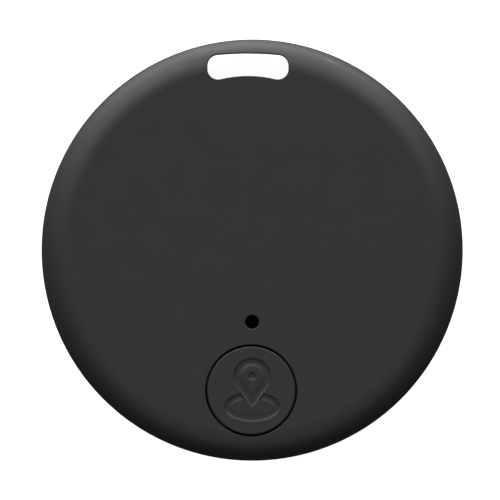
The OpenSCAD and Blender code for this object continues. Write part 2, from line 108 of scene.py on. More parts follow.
# ---------------------------------------------------------------- camera, lights and floor
PHOTO_WIDTH = 53.49
LENS = 700.0
SENSOR = 36.0
camera_data = bpy.data.cameras.new("camera")
camera_data.lens = LENS
camera_data.sensor_width = SENSOR
camera_data.shift_x = -0.00434
camera_data.shift_y = 0.0002
camera_data.clip_start = 0.01
camera_data.clip_end = 10.0
camera = bpy.data.objects.new("camera", camera_data)
camera.location = (0.0, 0.0, SEAM_Z * MM + PHOTO_WIDTH * MM * LENS / SENSOR)
bpy.context.scene.collection.objects.link(camera)
bpy.context.scene.camera = camera


def softbox(name, azimuth, elevation, size, brightness):
    """A rectangular lamp aimed at the tag. Azimuth 0 is +X and 90 is +Y; brightness is what it adds, face on."""
    distance = 2.0
    data = bpy.data.lights.new(name, "AREA")
    data.shape = "RECTANGLE"
    data.size, data.size_y = size
    data.energy = brightness * math.pi * math.pi * distance**2
    light = bpy.data.objects.new(name, data)
    turn, lift = math.radians(azimuth), math.radians(elevation)
    away = Vector((math.cos(turn) * math.cos(lift), math.sin(turn) * math.cos(lift), math.sin(lift)))
    light.location = away * distance + Vector((0.0, 0.0, SEAM_Z * MM))
    light.rotation_mode = "QUATERNION"
    light.rotation_quaternion = away.to_track_quat("Z", "Y")
    light.visible_camera = False
    bpy.context.scene.collection.objects.link(light)
    return light


softbox("rim_right", 65, -10, (1.0, 1.0), 0.365)
softbox("rim_back", 95, -10, (1.0, 1.0), 0.26)
softbox("rim_low", 95, -25, (1.0, 1.0), 0.255)
softbox("rim_left", 125, -10, (1.0, 1.0), 0.39)
softbox("key_right", 60, 35, (1.0, 1.0), 0.405)
softbox("key_left", 125, 35, (1.0, 1.0), 0.465)
softbox("front_fill", 270, 50, (1.0, 1.0), 0.1)

world = bpy.data.worlds.new("studio")
world.use_nodes = True
world.node_tree.nodes["Background"].inputs["Color"].default_value = (1.0, 1.0, 1.0, 1.0)
world.node_tree.nodes["Background"].inputs["Strength"].default_value = 0.037
bpy.context.scene.world = world
bpy.context.scene.view_settings.view_transform = "Standard"
bpy.context.scene.view_settings.look = "None"


# ---------------------------------------------------------------- material helpers
def node_of(tree, kind, **settings):
    node = tree.nodes.new(kind)
    for key, value in settings.items():
        setattr(node, key, value)
    return node


def set_inputs(node, **values):
    for key, value in values.items():
        node.inputs[key.replace("_", " ")].default_value = value


def new_material(name, roughness, metallic=0.0, ior=1.5, specular=0.5):
    """A material with its shader, and Object coordinates scaled to millimetres."""
    material = bpy.data.materials.new(name)
    material.use_nodes = True
    tree = material.node_tree
    shader = tree.nodes["Principled BSDF"]
    set_inputs(shader, Roughness=roughness, Metallic=metallic, IOR=ior)
    shader.inputs["Specular IOR Level"].default_value = specular
    coordinates = node_of(tree, "ShaderNodeTexCoord")
    scale = node_of(tree, "ShaderNodeMapping")
    scale.inputs["Scale"].default_value = (1 / MM, 1 / MM, 1 / MM)
    tree.links.new(coordinates.outputs["Object"], scale.inputs["Vector"])
    return material, tree, shader, scale.outputs["Vector"]


def noise(tree, vector, scale, detail=2.0, roughness=0.5, distortion=0.0):
    node = node_of(tree, "ShaderNodeTexNoise")
    set_inputs(node, Scale=scale, Detail=detail, Roughness=roughness, Distortion=distortion)
    tree.links.new(vector, node.inputs["Vector"])
    return node.outputs["Fac"]


def remap(tree, value, low, high, start=0.3, end=0.7):
    node = node_of(tree, "ShaderNodeMapRange")
    set_inputs(node, From_Min=start, From_Max=end, To_Min=low, To_Max=high)
    tree.links.new(value, node.inputs["Value"])
    return node.outputs["Result"]


def blend_colours(tree, factor, first, second):
    node = node_of(tree, "ShaderNodeMix", data_type="RGBA")
    for socket, colour in ((node.inputs[6], first), (node.inputs[7], second)):
        socket.default_value = (*colour, 1.0)
    tree.links.new(factor, node.inputs[0])
    return node.outputs[2]


def bump(tree, height, distance, strength=1.0, under=None):
    """Surface relief, with its height in metres."""
    node = node_of(tree, "ShaderNodeBump")
    set_inputs(node, Strength=strength, Distance=distance)
    tree.links.new(height, node.inputs["Height"])
    if under is not None:
        tree.links.new(under, node.inputs["Normal"])
    return node.outputs["Normal"]


def stretch(tree, vector, scale):
    node = node_of(tree, "ShaderNodeMapping")
    node.inputs["Scale"].default_value = scale
    tree.links.new(vector, node.inputs["Vector"])
    return node.outputs["Vector"]


def shades(colour, spread):
    return [c * (1 - spread) for c in colour], [min(1.0, c * (1 + spread)) for c in colour]


def corners(tree, low, high):
    """How sharply the surface turns outwards, from 0 on a flat to 1 on an edge."""
    node = node_of(tree, "ShaderNodeNewGeometry")
    return remap(tree, node.outputs["Pointiness"], 0.0, 1.0, start=low, end=high)


def combined(tree, operation, first, second):
    node = node_of(tree, "ShaderNodeMath", operation=operation, use_clamp=True)
    for socket, value in zip(node.inputs, (first, second)):
        if isinstance(value, float):
            socket.default_value = value
        else:
            tree.links.new(value, socket)
    return node.outputs["Value"]


def moulded(name, colour, roughness, grain=7.0, relief=0.001, spread=0.02, specular=0.5):
    """Plastic from a spark-eroded mould: a fine even grain, faint flow mottling and a little gloss variation."""
    material, tree, shader, vector = new_material(name, roughness, specular=specular)
    mottle = noise(tree, vector, 0.35, detail=3.0)
    dark, light = shades(colour, spread)
    tree.links.new(blend_colours(tree, remap(tree, mottle, 0.0, 1.0), dark, light), shader.inputs["Base Color"])
    gloss = noise(tree, vector, 1.7, detail=4.0)
    tree.links.new(remap(tree, gloss, roughness - 0.03, roughness + 0.03), shader.inputs["Roughness"])
    fine = bump(tree, noise(tree, vector, grain, detail=1.0), relief * MM)
    coarse = bump(tree, noise(tree, vector, grain * 0.23, detail=2.0), relief * MM * 1.5, under=fine)
    tree.links.new(coarse, shader.inputs["Normal"])
    return material


def handled(name, colour, roughness):
    """Matte casing plastic that has been carried: hairlines across it and edges rubbed smooth and a shade lighter."""
    material, tree, shader, vector = new_material(name, roughness)
    mottle = remap(tree, noise(tree, vector, 0.35, detail=3.0), 0.0, 1.0)
    dark, light = shades(colour, 0.02)
    worn = corners(tree, 0.53, 0.6)
    rubbed = combined(tree, "MULTIPLY", worn, remap(tree, noise(tree, vector, 0.9, detail=4.0), 0.35, 1.0))
    body = node_of(tree, "ShaderNodeMix", data_type="RGBA")
    tree.links.new(rubbed, body.inputs[0])
    tree.links.new(blend_colours(tree, mottle, dark, light), body.inputs[6])
    body.inputs[7].default_value = (*[c * 1.3 for c in colour], 1.0)
    tree.links.new(body.outputs[2], shader.inputs["Base Color"])
    hairs = None
    for turn in (0.35, 1.9, 2.75):
        lines = node_of(tree, "ShaderNodeMapping")
        set_inputs(lines, Rotation=(0.0, 0.0, turn), Scale=(0.05, 7.0, 0.3))
        tree.links.new(vector, lines.inputs["Vector"])
        hair = remap(tree, noise(tree, lines.outputs["Vector"], 1.0, detail=3.0), 0.0, 1.0, start=0.7, end=0.76)
        hairs = hair if hairs is None else combined(tree, "MAXIMUM", hairs, hair)
    gloss = remap(tree, noise(tree, vector, 1.7, detail=4.0), roughness - 0.03, roughness + 0.03)
    marks = combined(tree, "MULTIPLY", combined(tree, "MAXIMUM", hairs, rubbed), 0.12)
    tree.links.new(combined(tree, "SUBTRACT", gloss, marks), shader.inputs["Roughness"])
    fine = bump(tree, noise(tree, vector, 7.0, detail=1.0), 0.001 * MM)
    coarse = bump(tree, noise(tree, vector, 1.6, detail=2.0), 0.0015 * MM, under=fine)
    tree.links.new(bump(tree, hairs, -0.0006 * MM, under=coarse), shader.inputs["Normal"])
    return material


def sheet_metal(name, colour, roughness, direction=(0.4, 9.0, 9.0), relief=0.0006, spread=0.08, metallic=0.85):
    """Rolled or stamped metal with fine lines along one direction and edges rubbed bright."""
    material, tree, shader, vector = new_material(name, roughness, metallic=metallic)
    lines = noise(tree, stretch(tree, vector, direction), 2.0, detail=4.0, roughness=0.6)
    dark, light = shades(colour, spread)
    shade = combined(tree, "ADD", remap(tree, lines, 0.0, 0.8), corners(tree, 0.52, 0.6))
    tree.links.new(blend_colours(tree, shade, dark, light), shader.inputs["Base Color"])
    smear = noise(tree, vector, 0.6, detail=3.0)
    tree.links.new(remap(tree, smear, roughness - 0.06, roughness + 0.08), shader.inputs["Roughness"])
    tree.links.new(bump(tree, lines, relief * MM), shader.inputs["Normal"])
    return material


def turned_metal(name, colour, roughness, centre, relief=0.0001, spread=0.06, metallic=0.85):
    """Satin metal turned on a lathe: fine rings about its own axis, a few smudges and rubbed edges."""
    material, tree, shader, vector = new_material(name, roughness, metallic=metallic)
    shift = node_of(tree, "ShaderNodeVectorMath", operation="SUBTRACT")
    shift.inputs[1].default_value = (centre[0], centre[1], 0.0)
    tree.links.new(vector, shift.inputs[0])
    rings = node_of(tree, "ShaderNodeTexWave", wave_type="RINGS", rings_direction="Z")
    set_inputs(rings, Scale=1.6, Distortion=0.6, Detail=3.0)
    rings.inputs["Detail Scale"].default_value = 6.0
    tree.links.new(shift.outputs["Vector"], rings.inputs["Vector"])
    dark, light = shades(colour, spread)
    shade = combined(tree, "ADD", combined(tree, "MULTIPLY", rings.outputs["Fac"], 0.6), corners(tree, 0.52, 0.6))
    tree.links.new(blend_colours(tree, shade, dark, light), shader.inputs["Base Color"])
    smear = noise(tree, vector, 0.25, detail=5.0)
    tree.links.new(remap(tree, smear, roughness - 0.05, roughness + 0.12), shader.inputs["Roughness"])
    tree.links.new(bump(tree, rings.outputs["Fac"], relief * MM), shader.inputs["Normal"])
    return material


def gauze(name, colour, pitch):
    """Woven polyester gauze: round threads crossing over and under at one pitch, with painted shade darkening the gaps
    between them.
    """
    material, tree, shader, vector = new_material(name, 0.8, specular=0.05)
    threads = []
    for direction in ("X", "Y"):
        wave = node_of(tree, "ShaderNodeTexWave", wave_type="BANDS", bands_direction=direction)
        set_inputs(wave, Scale=math.pi / (10 * pitch), Distortion=0.05)
        tree.links.new(vector, wave.inputs["Vector"])
        threads.append(wave.outputs["Fac"])
    weave_and_gap_shade = combined(tree, "MAXIMUM", *threads)
    # painted shade: between the threads the colour falls to 0.15 of the thread colour
    tree.links.new(blend_colours(tree, weave_and_gap_shade, [c * 0.15 for c in colour], colour), shader.inputs["Base Color"])
    tree.links.new(bump(tree, weave_and_gap_shade, 0.02 * MM), shader.inputs["Normal"])
    return material


def sponge(name, colour):
    """Closed-cell foam: small pits of several sizes, their hollows darkened as painted shade."""
    material, tree, shader, vector = new_material(name, 0.9, specular=0.1)
    pits = node_of(tree, "ShaderNodeTexVoronoi", feature="F1")
    set_inputs(pits, Scale=5.0, Randomness=1.0)
    tree.links.new(vector, pits.inputs["Vector"])
    pits_and_painted_shade = remap(tree, pits.outputs["Distance"], 0.0, 1.0, start=0.1, end=0.6)
    # painted shade: the colour darkens to 0.4 of itself towards each pit's bottom; the same pits also set the relief
    tree.links.new(blend_colours(tree, pits_and_painted_shade, [c * 0.4 for c in colour], [c * 1.6 for c in colour]), shader.inputs["Base Color"])
    tree.links.new(bump(tree, pits_and_painted_shade, 0.03 * MM), shader.inputs["Normal"])
    return material


def solder_mask(name, colour):
    """Circuit board: lacquer over copper tracks, which show as lighter raised lines, with a buff laminate edge."""
    material, tree, shader, vector = new_material(name, 0.3)
    tracks = node_of(tree, "ShaderNodeTexBrick", offset=0.5, offset_frequency=2)
    set_inputs(tracks, Scale=1.0, Mortar_Size=0.07, Brick_Width=8.0, Row_Height=0.62)
    tracks.inputs["Mortar Smooth"].default_value = 0.1
    bend = noise(tree, vector, 0.3, detail=1.0)
    warp = node_of(tree, "ShaderNodeVectorMath", operation="ADD")
    tree.links.new(vector, warp.inputs[0])
    tree.links.new(bend, warp.inputs[1])
    tree.links.new(warp.outputs["Vector"], tracks.inputs["Vector"])
    copper = combined(tree, "MULTIPLY", tracks.outputs["Fac"], remap(tree, noise(tree, vector, 0.14, detail=0.0), 0.0, 1.0, start=0.5, end=0.52))
    face = blend_colours(tree, copper, colour, [c * 2.0 for c in colour])
    upright = node_of(tree, "ShaderNodeNewGeometry")
    split = node_of(tree, "ShaderNodeSeparateXYZ")
    tree.links.new(upright.outputs["Normal"], split.inputs["Vector"])
    flatness = combined(tree, "GREATER_THAN", combined(tree, "MULTIPLY", split.outputs["Z"], split.outputs["Z"]), 0.5)
    edge = node_of(tree, "ShaderNodeMix", data_type="RGBA")
    tree.links.new(flatness, edge.inputs[0])
    fibres = noise(tree, stretch(tree, vector, (3.0, 3.0, 30.0)), 1.0, detail=3.0)
    tree.links.new(blend_colours(tree, fibres, (0.22, 0.19, 0.09), (0.36, 0.32, 0.17)), edge.inputs[6])
    tree.links.new(face, edge.inputs[7])
    tree.links.new(edge.outputs[2], shader.inputs["Base Color"])
    tree.links.new(remap(tree, noise(tree, vector, 0.8, detail=3.0), 0.26, 0.36), shader.inputs["Roughness"])
    tree.links.new(bump(tree, copper, 0.02 * MM), shader.inputs["Normal"])
    return material


def winding(name, colour, centre_z, pitch):
    """A coil of enamelled wire: turns stacked up the axis, each a round bead of copper under varnish, with painted
    shade darkening the creases between turns.
    """
    material, tree, shader, vector = new_material(name, 0.3, metallic=0.8)
    turns = node_of(tree, "ShaderNodeTexWave", wave_type="BANDS", bands_direction="Z", wave_profile="SIN")
    set_inputs(turns, Scale=math.pi / (10 * pitch), Distortion=0.15, Phase_Offset=centre_z)
    tree.links.new(vector, turns.inputs["Vector"])
    # painted shade: the copper darkens to 0.35 of its colour in the creases between turns
    dark, light = [c * 0.35 for c in colour], colour
    tree.links.new(blend_colours(tree, turns.outputs["Fac"], dark, light), shader.inputs["Base Color"])
    tree.links.new(remap(tree, noise(tree, vector, 1.5), 0.24, 0.38), shader.inputs["Roughness"])
    tree.links.new(bump(tree, turns.outputs["Fac"], 0.03 * MM), shader.inputs["Normal"])
    return material


# ---------------------------------------------------------------- shape helpers, in millimetres
def draw(bm, path, upright=False):
    """Draws a chain of edges: a pair is a point, and (centre, degrees, steps) turns the chain's end about a centre."""
    def place(at):
        return (at[0], 0, at[1]) if upright else (at[0], at[1], 0)

    end = bm.verts.new(place(path[0]))
    for move in path[1:]:
        if len(move) == 2:
            end = bmesh.ops.extrude_vert_indiv(bm, verts=[end])["verts"][0]
            end.co = place(move)
        else:
            centre, degrees, steps = move
            axis = (0, -1, 0) if upright else (0, 0, 1)
            made = bmesh.ops.spin(bm, geom=[end], cent=place(centre), axis=axis, angle=math.radians(degrees), steps=steps)
            end = next(v for v in made["geom_last"] if isinstance(v, bmesh.types.BMVert))
    return end


def outline_of(path):
    """The points of a closed path, without the last one where it comes back to the first."""
    bm = bmesh.new()
    draw(bm, path)
    points = [vert.co.xy for vert in bm.verts]
    bm.free()
    if (points[0] - points[-1]).length < 1e-4:
        points.pop()
    return points


def about(centre, radius, degrees):
    turn = math.radians(degrees)
    return (centre[0] + radius * math.cos(turn), centre[1] + radius * math.sin(turn))


def lathe(profile, centre=(0.0, 0.0), steps=SPIN_STEPS, start=0.0, angle=360.0, closed=False):
    """Turns a (radius, height) path about an upright axis. Open ends of a full turn are capped flat."""
    bm = bmesh.new()
    end = draw(bm, profile, upright=True)
    if closed:
        bm.edges.new((end, bm.verts[:][0]))
    bmesh.ops.rotate(bm, verts=bm.verts[:], matrix=Matrix.Rotation(math.radians(start), 3, "Z"))
    bmesh.ops.spin(
        bm,
        geom=bm.verts[:] + bm.edges[:],
        cent=(0, 0, 0),
        axis=(0, 0, 1),
        angle=math.radians(angle),
        steps=steps,
        use_merge=angle >= 360.0,
    )
    bmesh.ops.remove_doubles(bm, verts=bm.verts[:], dist=1e-5)
    bmesh.ops.holes_fill(bm, edges=[e for e in bm.edges if e.is_boundary], sides=0)
    bmesh.ops.recalc_face_normals(bm, faces=bm.faces[:])
    bmesh.ops.translate(bm, verts=bm.verts[:], vec=(centre[0], centre[1], 0))
    return bm


def wall_of(bm, outline, levels):
    """Stands a closed outline up through levels of (offset, height). A height may depend on the point."""
    def place(verts, offset, height):
        for vert, at in zip(verts, outline(offset)):
            vert.co = (at.x, at.y, height(at) if callable(height) else height)

    verts = [bm.verts.new((0, 0, 0)) for _ in outline(levels[0][0])]
    place(verts, *levels[0])
    edges = [bm.edges.new((verts[i - 1], verts[i])) for i in range(len(verts))]
    first = edges
    for level in levels[1:]:
        made = bmesh.ops.extrude_edge_only(bm, edges=edges)["geom"]
        edges = [e for e in made if isinstance(e, bmesh.types.BMEdge)]
        new = {v for v in made if isinstance(v, bmesh.types.BMVert)}
        verts = [next(e.other_vert(v) for e in v.link_edges if e.other_vert(v) in new) for v in verts]
        place(verts, *level)
    return first, edges


def prism(outline, levels):
    """A closed solid whose side follows an outline through levels of (offset, height)."""
    bm = bmesh.new()
    for rim in wall_of(bm, outline, levels):
        bmesh.ops.contextual_create(bm, geom=rim)
    bmesh.ops.recalc_face_normals(bm, faces=bm.faces[:])
    return bm


def rod(x, y, radius, low, high, steps=48, chamfer=0.0):
    profile = [(radius, low), (radius, high)]
    if chamfer:
        profile = [(radius - chamfer, low), (radius, low + chamfer), (radius, high)]
    return lathe(profile, centre=(x, y), steps=steps)


def box(low, high):
    bm = bmesh.new()
    bmesh.ops.create_cube(bm, size=1.0)
    size = Vector(high) - Vector(low)
    bmesh.ops.scale(bm, verts=bm.verts[:], vec=size)
    bmesh.ops.translate(bm, verts=bm.verts[:], vec=(Vector(high) + Vector(low)) / 2)
    return bm


def to_object(name, bm):
    mesh = bpy.data.meshes.new(name)
    bm.to_mesh(mesh)
    bm.free()
    obj = bpy.data.objects.new(name, mesh)
    bpy.context.scene.collection.objects.link(obj)
    return obj


def combine(target, *steps):
    """Joins, cuts or intersects solids exactly, in order. Each step is (operation, solid)."""
    tools = []
    for i, (operation, bm) in enumerate(steps):
        tool = to_object(f"tool_{i}", bm)
        tools.append(tool)
        modifier = target.modifiers.new(operation, "BOOLEAN")
        modifier.operation = operation
        modifier.solver = "EXACT"
        modifier.object = tool
    shape = bpy.data.meshes.new_from_object(target.evaluated_get(bpy.context.evaluated_depsgraph_get()))
    target.modifiers.clear()
    target.data = shape
    for tool in tools:
        bpy.data.objects.remove(tool)
    return target


def finish_piece(obj, material, body, replaces=(), sharp=32.0):
    """Brings a piece from millimetres into the frame, shades it and hooks it to its body."""
    bm = bmesh.new()
    bm.from_mesh(obj.data)
    bmesh.ops.remove_doubles(bm, verts=bm.verts[:], dist=1e-4)
    bmesh.ops.dissolve_degenerate(bm, dist=1e-4, edges=bm.edges[:])
    bmesh.ops.scale(bm, verts=bm.verts[:], vec=(MM, MM, MM))
    bm.to_mesh(obj.data)
    bm.free()
    obj.data.shade_smooth()
    obj.data.set_sharp_from_angle(angle=math.radians(sharp))
    weighted = obj.modifiers.new("weighted", "WEIGHTED_NORMAL")
    weighted.keep_sharp = True
    obj.data.materials.clear()
    obj.data.materials.append(material)
    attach(obj, body)
    if replaces:
        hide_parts(*replaces)
    return obj


# ---------------------------------------------------------------- floor
def sweep_floor():
    """Pale floor that turns up into a dome. It is open just under the tag's flat back, which can be seen from below."""
    material = bpy.data.materials.new("sweep_white")
    material.use_nodes = True
    shader = material.node_tree.nodes["Principled BSDF"]
    set_inputs(shader, Base_Color=(0.9, 0.9, 0.9, 1.0), Roughness=0.9)
    set_inputs(shader, Emission_Color=(1.0, 1.0, 1.0, 1.0), Emission_Strength=0.97)
    opening = (SLOT_INNER_Y - SLOT_WALL) * MM
    bm = bmesh.new()
    draw(bm, [(opening, -FLOOR_GAP), (DOME_R, -FLOOR_GAP), ((0, -FLOOR_GAP), 84, 14)], upright=True)
    bmesh.ops.spin(bm, geom=bm.verts[:] + bm.edges[:], cent=(0, 0, 0), axis=(0, 0, 1), angle=math.tau, steps=48, use_merge=True)
    top_rim = [e for e in bm.edges if e.is_boundary and e.verts[0].co.z > opening]
    bmesh.ops.holes_fill(bm, edges=top_rim, sides=0)
    obj = to_object("sweep", bm)
    obj.data.materials.append(material)
    obj.data.shade_smooth()
    obj.visible_diffuse = False
    obj.visible_glossy = False
    obj.visible_shadow = False


sweep_floor()


# ---------------------------------------------------------------- casing outlines
def front_skin(at):
    """Height of the front's outer surface over a point."""
    out = at.length - (CASE_R - FRONT_EDGE_R)
    if out <= 0:
        return CASE_T
    out = min(out, FRONT_EDGE_R)
    return CASE_T - FRONT_EDGE_R + math.sqrt(FRONT_EDGE_R**2 - out**2)


def rear_skin(at):
    """Height of the rear's outer surface over a point."""
    out = at.length - (CASE_R - REAR_EDGE_R)
    if out <= 0:
        return 0.0
    out = min(out, REAR_EDGE_R)
    return REAR_EDGE_R - math.sqrt(REAR_EDGE_R**2 - out**2)


def slot_outline(offset):
    """The lanyard slot: a shallow arc outside, a tighter one inside and round corners, moved out by an offset."""
    side = SLOT_HALF_W - SLOT_CORNER_R
    top, low = (SLOT_X, SLOT_OUTER_Y - SLOT_TOP_R), (SLOT_X, SLOT_INNER_Y - SLOT_LOW_R)
    top_half = math.degrees(math.asin(side / (SLOT_TOP_R - SLOT_CORNER_R)))
    low_half = math.degrees(math.asin(side / (SLOT_LOW_R + SLOT_CORNER_R)))
    top_y = about(top, SLOT_TOP_R - SLOT_CORNER_R, 90 + top_half)[1]
    low_y = about(low, SLOT_LOW_R + SLOT_CORNER_R, 90 + low_half)[1]
    left, right = SLOT_X - side, SLOT_X + side
    corner_r = SLOT_CORNER_R + offset
    return outline_of([
        about(top, SLOT_TOP_R + offset, 90 + top_half),
        (top, -2 * top_half, 28),
        ((right, top_y), top_half - 90, 12),
        (right + corner_r, low_y),
        ((right, low_y), -90 - low_half, 14),
        (low, 2 * low_half, 24),
        ((left, low_y), -90 - low_half, 14),
        (left - corner_r, top_y),
        ((left, top_y), top_half - 90, 12),
    ])


def flare(skin, radius, up, angles=FLARE_ANGLES):
    """Levels of a rounded mouth, from the wall out to a little beyond the surface. up is 1 on top and -1 below."""
    levels = []
    for degrees in angles:
        a = math.radians(degrees)
        drop = radius * (1 - math.sin(a))
        levels.append((radius * (1 - math.cos(a)), lambda at, d=drop: skin(at) - up * d))
    levels.append((radius * 1.6, lambda at: skin(at) + up * radius * 0.16))
    levels.append((radius * 1.6, lambda at: skin(at) + up * 2.0))
    return levels


def flared_hole(radius, mouth, low, high):
    """Path of a round cutter with a rounded mouth at height high."""
    rim = high - mouth
    return [
        (radius, low),
        (radius, rim),
        ((radius + mouth, rim), -72, 5),
        (radius + mouth * 1.6, high + mouth * 0.16),
        (radius + mouth * 1.6, high + 1),
    ]


SLOT_MOUTH = 0.1


# ---------------------------------------------------------------- front shell
def front_shell_shape():
    edge = CASE_R - FRONT_EDGE_R
    spring = CASE_T - FRONT_EDGE_R
    profile = [
        (edge, CASE_T),
        ((edge, spring), -90, 30),
        (CASE_R, SEAM_Z + SEAM_ROUND),
        ((CASE_R - SEAM_ROUND, SEAM_Z + SEAM_ROUND), -90, 4),
        (SKIRT_R, SEAM_Z),
        (SKIRT_R, LIP_RECESS_Z),
        (CASE_R - WALL, LIP_RECESS_Z),
        (CASE_R - WALL, spring),
        ((edge, spring), 90, 16),
    ]
    shell = to_object("front_shell_moulded", lathe(profile))
    inner = CASE_R - WALL / 2
    clip = lathe([(edge, CASE_T - WALL / 2), ((edge, spring), -90, 12), (inner, SEAM_Z)])
    tube = to_object("slot_tube_front", prism(slot_outline, [(SLOT_WALL, SEAM_Z), (SLOT_WALL, CASE_T)]))
    combine(tube, ("INTERSECT", clip))
    tube_bm = bmesh.new()
    tube_bm.from_mesh(tube.data)
    bpy.data.objects.remove(tube)
    screw_low, screw_high = (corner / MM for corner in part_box("board_screws"))
    screw_x = screw_high.x - 1.3
    screw_y = (screw_low.y + screw_high.y) / 2
    peg_ring, peg_turn = board_high.x - 3.2, math.radians(27)
    steps = [("UNION", tube_bm)]
    for side in (-1, 1):
        peg = Vector((side * peg_ring * math.cos(peg_turn), peg_ring * math.sin(peg_turn)))
        steps.append(("UNION", rod(side * screw_x, screw_y, 1.7, board_high.z, CEILING + OVERLAP)))
        steps.append(("UNION", rod(peg.x, peg.y, 1.5, board_high.z, CEILING + OVERLAP)))
        steps.append(("UNION", rod(peg.x, peg.y, 0.75, board_low.z - 0.35, CEILING, chamfer=0.15)))
    key_y = BUTTON_Y + BUTTON_HOLE_R
    steps.append(("UNION", box((BUTTON_X - 0.5, key_y - OVERLAP, FLANGE_LOW), (BUTTON_X + 0.5, key_y + 0.63, CEILING + OVERLAP))))
    for side in (-1, 1):
        steps.append(("DIFFERENCE", rod(side * screw_x, screw_y, 0.7, board_high.z - OVERLAP, CEILING)))
    slot_low = [(0.25, SEAM_Z - 1), (0.25, SEAM_Z - 0.05), (0.0, SEAM_Z + 0.12)]
    steps.append(("DIFFERENCE", prism(slot_outline, slot_low + flare(front_skin, SLOT_MOUTH, 1))))
    button_hole = flared_hole(BUTTON_HOLE_R, 0.08, FLANGE_LOW - 1, CASE_T)
    steps.append(("DIFFERENCE", lathe(button_hole, centre=(BUTTON_X, BUTTON_Y), steps=160)))
    sound_hole = flared_hole(SOUND_R, 0.14, CEILING - OVERLAP, CASE_T)
    steps.append(("DIFFERENCE", lathe(sound_hole, centre=(0, SOUND_Y), steps=64)))
    steps.append(("DIFFERENCE", rod(0, SOUND_Y, SOUND_SEAT_R, CEILING - OVERLAP, SOUND_SEAT_Z)))
    return combine(shell, *steps)


# ---------------------------------------------------------------- rear cover
def rear_cover_shape():
    edge = CASE_R - REAR_EDGE_R
    profile = [
        (edge, 0),
        ((edge, REAR_EDGE_R), 90, 26),
        (CASE_R, SEAM_Z - SEAM_ROUND),
        ((CASE_R - SEAM_ROUND, SEAM_Z - SEAM_ROUND), 90, 4),
        (LIP_R, SEAM_Z),
        (LIP_R, LIP_TOP - 0.15),
        (LIP_R - 0.12, LIP_TOP),
        (LIP_IN_R + 0.1, LIP_TOP),
        (LIP_IN_R, LIP_TOP - 0.1),
        (LIP_IN_R, LIP_ROOT_Z),
        (CASE_R - WALL, LIP_ROOT_Z),
        (CASE_R - WALL, REAR_EDGE_R),
        ((edge, REAR_EDGE_R), -90, 14),
    ]
    cover = to_object("rear_cover_moulded", lathe(profile))
    clip = lathe([(edge, WALL / 2), ((edge, REAR_EDGE_R), 90, 12), (CASE_R - WALL / 2, SEAM_Z)])
    tube = to_object("slot_tube_rear", prism(slot_outline, [(SLOT_WALL, WALL / 2), (SLOT_WALL, SEAM_Z)]))
    combine(tube, ("INTERSECT", clip))
    tube_bm = bmesh.new()
    tube_bm.from_mesh(tube.data)
    bpy.data.objects.remove(tube)
    lip_gap = [(SLOT_WALL + 0.15, SEAM_Z), (SLOT_WALL + 0.15, LIP_TOP + 1)]
    well_profile = [
        (WELL_R, WALL - OVERLAP),
        (WELL_R + WELL_WALL, WALL - OVERLAP),
        (WELL_R + WELL_WALL, WELL_TOP - 0.12),
        (WELL_R + WELL_WALL - 0.12, WELL_TOP),
        (WELL_R + 0.2, WELL_TOP),
        (WELL_R, WELL_TOP - 0.25),
    ]
    well = to_object("well_ring", lathe(well_profile, centre=(0, CELL_Y), steps=160, closed=True))
    combine(
        well,
        ("DIFFERENCE", box((-CASE_R, CELL_Y - 3.5, WALL), (CASE_R, CELL_Y + 3.5, CASE_T))),
        ("DIFFERENCE", box((-3.3, -CASE_R, WALL), (3.3, CELL_Y, CASE_T))),
    )
    well_bm = bmesh.new()
    well_bm.from_mesh(well.data)
    bpy.data.objects.remove(well)
    steps = [("DIFFERENCE", prism(slot_outline, lip_gap))]
    bead = [(LIP_R - OVERLAP, 0.25), (LIP_R, 0.25), (LIP_R + 0.12, 0.0), (LIP_R, -0.25), (LIP_R - OVERLAP, -0.25)]
    bead = [(r, SEAM_Z + 0.6 + z) for r, z in bead]
    for i in range(1, 6):
        start = i * 60 - 11 - 90
        if abs((start + 11) % 360 - 90) > 30:
            steps.append(("UNION", lathe(bead, start=start, angle=22, steps=16, closed=True)))
    steps.append(("UNION", lathe(bead, start=-101, angle=22, steps=16, closed=True)))
    steps.append(("UNION", well_bm))
    steps.append(("UNION", tube_bm))
    slot_high = [(0.0, SEAM_Z - 0.12), (0.25, SEAM_Z + 0.05), (0.25, SEAM_Z + 1)]
    slot_levels = list(reversed(flare(rear_skin, SLOT_MOUTH, -1))) + slot_high
    steps.append(("DIFFERENCE", prism(slot_outline, slot_levels)))
    steps.append(("DIFFERENCE", box((-4, -CASE_R - 1, SEAM_Z - 1), (4, -CASE_R + 0.9, SEAM_Z + 0.001))))
    return combine(cover, *steps)


# ---------------------------------------------------------------- button
MARKER_HEAD_R = 1.9
MARKER_HEAD_UP = 1.5
MARKER_TIP_DOWN = 1.85
MARKER_LINE = 0.68
MARKER_EYE_R = 0.42
RING_A = 2.9
RING_B = 1.5
RING_LINE = 0.65
RING_DOWN = 1.73
RING_CLEAR = 0.16
SYMBOL_DEPTH = 0.22
SYMBOL_SINK = 0.06
SYMBOL_SLOPE = 0.28
INNER_SOFTER = 1.4
SYMBOL_FLOOR = CASE_T - SYMBOL_DEPTH


def marker_outline(inset):
    """The map marker: a round head drawn down to a point."""
    radius = MARKER_HEAD_R - inset
    reach = (MARKER_HEAD_UP + MARKER_TIP_DOWN) * radius / MARKER_HEAD_R
    lean = math.degrees(math.acos(radius / reach))
    head = (0, MARKER_HEAD_UP)
    right, left = about(head, radius, lean - 90), about(head, radius, 270 - lean)
    tip = Vector((0, MARKER_HEAD_UP - reach))
    blunt = 0.97
    return outline_of([right, (head, 360 - 2 * lean, 60), tuple(Vector(left).lerp(tip, blunt)), tuple(Vector(right).lerp(tip, blunt))])


